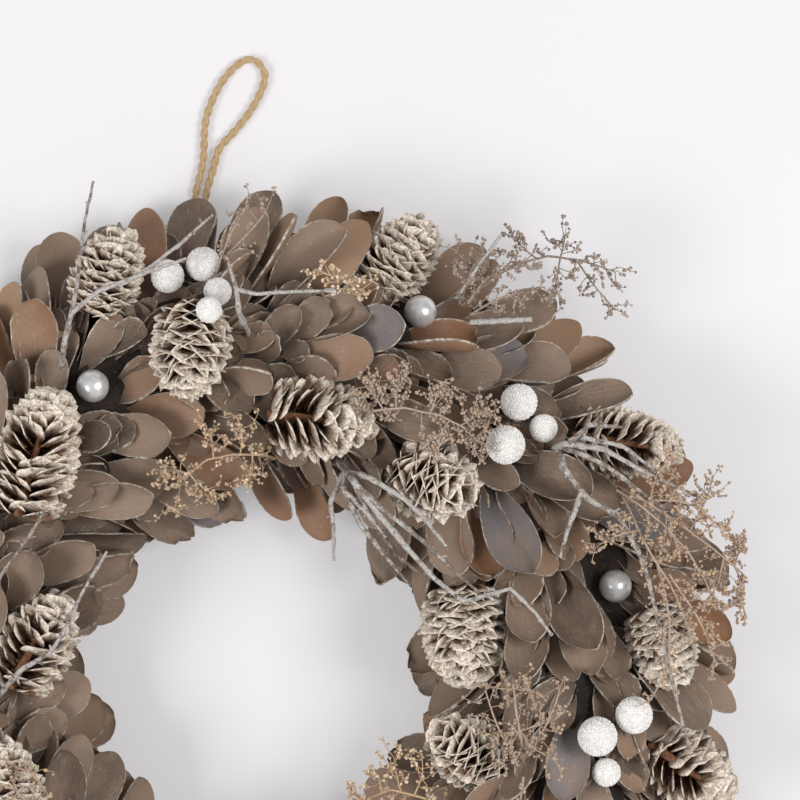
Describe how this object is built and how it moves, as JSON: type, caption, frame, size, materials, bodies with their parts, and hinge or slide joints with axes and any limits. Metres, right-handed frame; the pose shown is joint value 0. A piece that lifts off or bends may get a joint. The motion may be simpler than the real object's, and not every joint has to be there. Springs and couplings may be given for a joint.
{
  "type": "wood shaving wreath",
  "caption": "Round wreath of overlapping oval wood shavings on a straw ring, with limed cones, silver beads, frosted berries, twigs, dried sprays and a twine hanging loop.",
  "frame": {"origin": "middle of the wreath's hole, on the surface that its flat back lies on; the twine loop is left out of this box", "axes": "+Z out of the wreath's face, +Y towards the top, where the hanging loop is, +X to the right of someone who looks at the face"},
  "size_m": [0.3636, 0.417, 0.0762],
  "materials": {
    "straw": "bound straw, matt",
    "taupe_wood": "thin wood shavings stained taupe grey, matt, with pale rough edges",
    "limed_cone": "brown cone scales washed with white paint, matt",
    "silver": "pearly silver paint, satin gloss",
    "frost": "foam berries covered in white grains, matt",
    "limed_twig": "thin twigs washed with grey-white paint, matt",
    "dried_stem": "dried flower stems and buds, matt",
    "twine": "two-ply jute twine"
  },
  "bodies": {
    "root": {"straw_ring": "straw", "shavings_1": "taupe_wood", "shavings_2": "taupe_wood", "shavings_3": "taupe_wood", "shavings_4": "taupe_wood", "shavings_5": "taupe_wood", "shavings_6": "taupe_wood", "shavings_7": "taupe_wood", "shavings_8": "taupe_wood", "cone_01": "limed_cone", "cone_02": "limed_cone", "cone_03": "limed_cone", "cone_04": "limed_cone", "cone_05": "limed_cone", "cone_06": "limed_cone", "cone_07": "limed_cone", "cone_08": "limed_cone", "cone_09": "limed_cone", "cone_10": "limed_cone", "cone_11": "limed_cone", "cone_12": "limed_cone", "cone_13": "limed_cone", "cone_14": "limed_cone", "cone_15": "limed_cone", "cone_16": "limed_cone", "cone_17": "limed_cone", "cone_18": "limed_cone", "cone_19": "limed_cone", "cone_20": "limed_cone", "cone_21": "limed_cone", "silver_bead_1": "silver", "silver_bead_2": "silver", "silver_bead_3": "silver", "silver_bead_4": "silver", "silver_bead_5": "silver", "silver_bead_6": "silver", "frosted_berries_1": "frost", "frosted_berries_2": "frost", "frosted_berries_3": "frost", "frosted_berries_4": "frost", "frosted_berries_5": "frost", "frosted_berries_6": "frost", "twigs_1": "limed_twig", "twigs_2": "limed_twig", "twigs_3": "limed_twig", "twigs_4": "limed_twig", "twigs_5": "limed_twig", "twigs_6": "limed_twig", "twigs_7": "limed_twig", "twigs_8": "limed_twig", "spray_1": "dried_stem", "spray_2": "dried_stem", "spray_3": "dried_stem", "spray_4": "dried_stem", "spray_5": "dried_stem", "spray_6": "dried_stem", "spray_7": "dried_stem", "spray_8": "dried_stem", "hanging_loop": "twine"}
  },
  "joints": []
}
